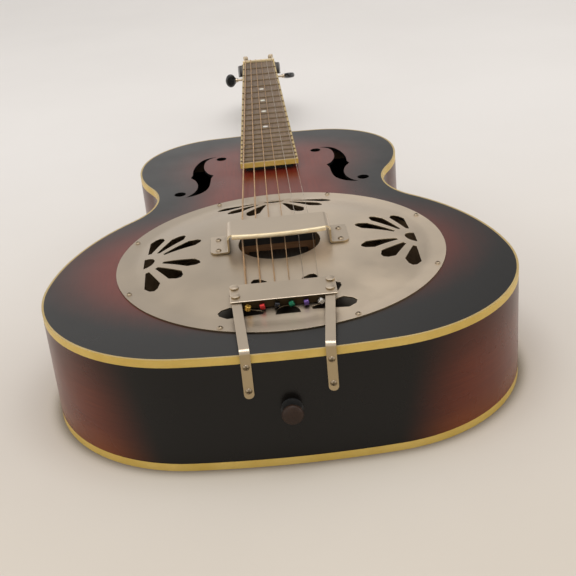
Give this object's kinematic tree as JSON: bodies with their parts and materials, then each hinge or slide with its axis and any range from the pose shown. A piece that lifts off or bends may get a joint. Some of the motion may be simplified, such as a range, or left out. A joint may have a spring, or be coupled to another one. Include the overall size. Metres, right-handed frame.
{
  "type": "resonator guitar",
  "caption": "Wooden-bodied resonator guitar with a domed metal coverplate over a spun cone, f-shaped sound holes, bound neck, screwed tailpiece and turning worm-geared tuners.",
  "frame": {"origin": "on the outer face of the flat back, straight below the saddle and the centre of the resonator cone", "axes": "+Y along the strings towards the headstock, +Z out of the top, +X towards the treble side"},
  "size_m": [0.3792, 0.9358, 0.1219],
  "materials": {
    "sunburst_lacquer": "gloss lacquer over mahogany-faced ply, red-brown in the middle, black at the edge",
    "back_lacquer": "gloss lacquer, red-brown burst to dark edges",
    "sides_lacquer": "gloss lacquer, dark red-brown",
    "cream_binding": "aged cream, lightly polished",
    "inner_wood": "bare spruce and maple",
    "spun_aluminium": "spun, satin",
    "black_wood": "dyed black",
    "maple": "oiled",
    "ebony": "satin",
    "steel": "plain",
    "brass": "plain",
    "satin_nickel": "satin nickel plate, slightly warm",
    "end_pin_wood": "turned, waxed",
    "black_felt": "matt",
    "neck_lacquer": "satin lacquer on mahogany",
    "rosewood": "open pored, oiled",
    "fret_nickel": "polished",
    "pearl": "cloudy, polished",
    "bone": "polished",
    "headstock_veneer": "gloss, very dark brown",
    "black_plastic": "gloss",
    "bronze_wound": "bronze winding",
    "plain_steel": "bright",
    "ball_end_enamel": "each a different colour",
    "tuner_button_black": "black button on a nickel shaft"
  },
  "bodies": {
    "guitar": {"top": "sunburst_lacquer", "back": "back_lacquer", "sides": "sides_lacquer", "front_binding": "cream_binding", "back_binding": "cream_binding", "linings": "inner_wood", "neck_block": "inner_wood", "tail_block": "inner_wood", "braces": "inner_wood", "soundwell": "inner_wood", "cone": "spun_aluminium", "biscuit": "black_wood", "biscuit_screw": "steel", "saddle": "maple", "saddle_cap": "ebony", "coverplate": "satin_nickel", "coverplate_screws": "satin_nickel", "handrest": "satin_nickel", "handrest_screws": "satin_nickel", "tailpiece_plate": "satin_nickel", "tailpiece_arms": "satin_nickel", "tailpiece_rivets": "satin_nickel", "tailpiece_screws": "satin_nickel", "end_pin": "end_pin_wood", "end_pin_collar": "black_felt", "neck": "neck_lacquer", "neck_extension_block": "ebony", "neck_bolts": "steel", "fingerboard": "rosewood", "fingerboard_binding": "cream_binding", "frets": "fret_nickel", "position_dots": "pearl", "nut": "bone", "headstock_overlay": "headstock_veneer", "truss_rod": "steel", "truss_rod_nut": "brass", "truss_rod_cover": "black_plastic", "truss_cover_screws": "satin_nickel", "string_ball_ends": "ball_end_enamel", "tuner_plates": "satin_nickel", "tuner_bushings": "satin_nickel", "tuner_screws": "satin_nickel", "string_1": "plain_steel", "string_2": "plain_steel", "string_3": "bronze_wound", "string_4": "bronze_wound", "string_5": "bronze_wound", "string_6": "bronze_wound"},
    "post_1": {"tuner_post_1": "satin_nickel"},
    "knob_1": {"tuner_knob_1": "tuner_button_black"},
    "post_2": {"tuner_post_2": "satin_nickel"},
    "knob_2": {"tuner_knob_2": "tuner_button_black"},
    "post_3": {"tuner_post_3": "satin_nickel"},
    "knob_3": {"tuner_knob_3": "tuner_button_black"},
    "post_4": {"tuner_post_4": "satin_nickel"},
    "knob_4": {"tuner_knob_4": "tuner_button_black"},
    "post_5": {"tuner_post_5": "satin_nickel"},
    "knob_5": {"tuner_knob_5": "tuner_button_black"},
    "post_6": {"tuner_post_6": "satin_nickel"},
    "knob_6": {"tuner_knob_6": "tuner_button_black"}
  },
  "joints": [
    {"name": "knob_1_turn", "type": "hinge", "parent": "guitar", "child": "knob_1", "pos_m": [-0.0175, 0.6482, 0.07285], "axis": [1, 0, 0], "continuous": true},
    {"name": "post_1_turn", "type": "hinge", "parent": "guitar", "child": "post_1", "pos_m": [-0.0175, 0.65977, 0.08962], "axis": [0, 0.2588, 0.9659], "continuous": true},
    {"name": "knob_2_turn", "type": "hinge", "parent": "guitar", "child": "knob_2", "pos_m": [-0.0175, 0.68297, 0.06353], "axis": [1, 0, 0], "continuous": true},
    {"name": "post_2_turn", "type": "hinge", "parent": "guitar", "child": "post_2", "pos_m": [-0.0175, 0.69454, 0.08031], "axis": [0, 0.2588, 0.9659], "continuous": true},
    {"name": "knob_3_turn", "type": "hinge", "parent": "guitar", "child": "knob_3", "pos_m": [-0.0175, 0.71775, 0.05421], "axis": [1, 0, 0], "continuous": true},
    {"name": "post_3_turn", "type": "hinge", "parent": "guitar", "child": "post_3", "pos_m": [-0.0175, 0.72932, 0.07099], "axis": [0, 0.2588, 0.9659], "continuous": true},
    {"name": "knob_4_turn", "type": "hinge", "parent": "guitar", "child": "knob_4", "pos_m": [0.0175, 0.6482, 0.07285], "axis": [1, 0, 0], "continuous": true},
    {"name": "post_4_turn", "type": "hinge", "parent": "guitar", "child": "post_4", "pos_m": [0.0175, 0.65977, 0.08962], "axis": [0, 0.2588, 0.9659], "continuous": true},
    {"name": "knob_5_turn", "type": "hinge", "parent": "guitar", "child": "knob_5", "pos_m": [0.0175, 0.68297, 0.06353], "axis": [1, 0, 0], "continuous": true},
    {"name": "post_5_turn", "type": "hinge", "parent": "guitar", "child": "post_5", "pos_m": [0.0175, 0.69454, 0.08031], "axis": [0, 0.2588, 0.9659], "continuous": true},
    {"name": "knob_6_turn", "type": "hinge", "parent": "guitar", "child": "knob_6", "pos_m": [0.0175, 0.71775, 0.05421], "axis": [1, 0, 0], "continuous": true},
    {"name": "post_6_turn", "type": "hinge", "parent": "guitar", "child": "post_6", "pos_m": [0.0175, 0.72932, 0.07099], "axis": [0, 0.2588, 0.9659], "continuous": true}
  ],
  "couplings": [
    {"joint": "post_1_turn", "follows": "knob_1_turn", "ratio": -0.055556},
    {"joint": "post_2_turn", "follows": "knob_2_turn", "ratio": -0.055556},
    {"joint": "post_3_turn", "follows": "knob_3_turn", "ratio": -0.055556},
    {"joint": "post_4_turn", "follows": "knob_4_turn", "ratio": -0.055556},
    {"joint": "post_5_turn", "follows": "knob_5_turn", "ratio": -0.055556},
    {"joint": "post_6_turn", "follows": "knob_6_turn", "ratio": -0.055556}
  ]
}
